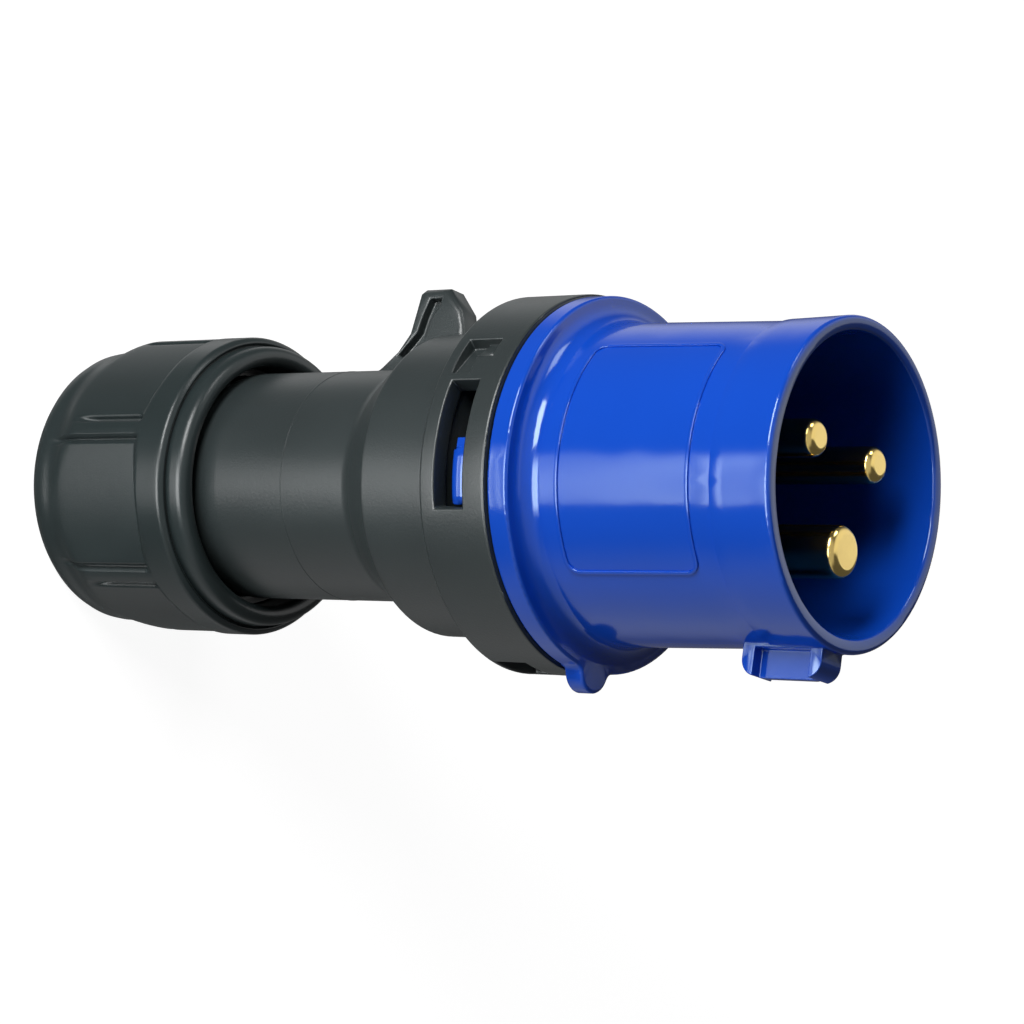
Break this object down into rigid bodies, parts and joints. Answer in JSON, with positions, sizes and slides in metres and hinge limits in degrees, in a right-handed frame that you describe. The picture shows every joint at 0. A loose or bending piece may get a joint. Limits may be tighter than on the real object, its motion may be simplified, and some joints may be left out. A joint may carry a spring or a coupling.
{
  "type": "industrial pin and sleeve plug",
  "caption": "Cable plug with round brass contact pins in a keyed blue shroud, a black bayonet housing with a rear lug, and a grooved union nut over the cable gland.",
  "frame": {"origin": "centre of the cable hole at the union nut's flat rear face", "axes": "+Z along the plug from the nut to the mouth of the shroud, -Y towards the shroud's key, +Y towards the housing's rear lug"},
  "size_m": [0.0516, 0.0567, 0.13],
  "materials": {
    "blue_plastic": "smooth moulded, semi-gloss",
    "black_plastic": "fine moulded texture, satin",
    "carrier_plastic": "smooth moulded",
    "clamp_plastic": "natural polyamide",
    "seal_rubber": "soft, matt",
    "pin_brass": "turned and polished",
    "screw_steel": "zinc plated"
  },
  "bodies": {
    "body": {"housing": "black_plastic", "outer_seal": "seal_rubber", "inner_seal": "seal_rubber", "clamp_insert": "clamp_plastic"},
    "front": {"front_shroud": "blue_plastic", "flange_gasket": "seal_rubber", "contact_carrier": "carrier_plastic", "terminal_block": "carrier_plastic", "block_screw": "screw_steel", "line_pin": "pin_brass", "line_screw": "screw_steel", "line_plate": "screw_steel", "neutral_pin": "pin_brass", "neutral_screw": "screw_steel", "neutral_plate": "screw_steel", "earth_pin": "pin_brass", "earth_screw": "screw_steel", "earth_plate": "screw_steel"},
    "slip": {"slip_ring": "clamp_plastic"},
    "nut": {"union_nut": "black_plastic"}
  },
  "joints": [
    {"name": "bayonet_twist", "type": "hinge", "parent": "body", "child": "front", "pos_m": [0, 0, 0.09], "axis": [0, 0, 1], "range_deg": [-16.5, 0]},
    {"name": "nut_travel", "type": "slide", "parent": "body", "child": "slip", "axis": [0, 0, 1], "range_m": [-0.01, 0]},
    {"name": "nut_turn", "type": "hinge", "parent": "slip", "child": "nut", "pos_m": [0, 0, 0.016], "axis": [0, 0, 1], "range_deg": [-1800, 0]}
  ],
  "couplings": [
    {"joint": "nut_travel", "follows": "nut_turn", "m_per_rad": 0.00031831}
  ]
}
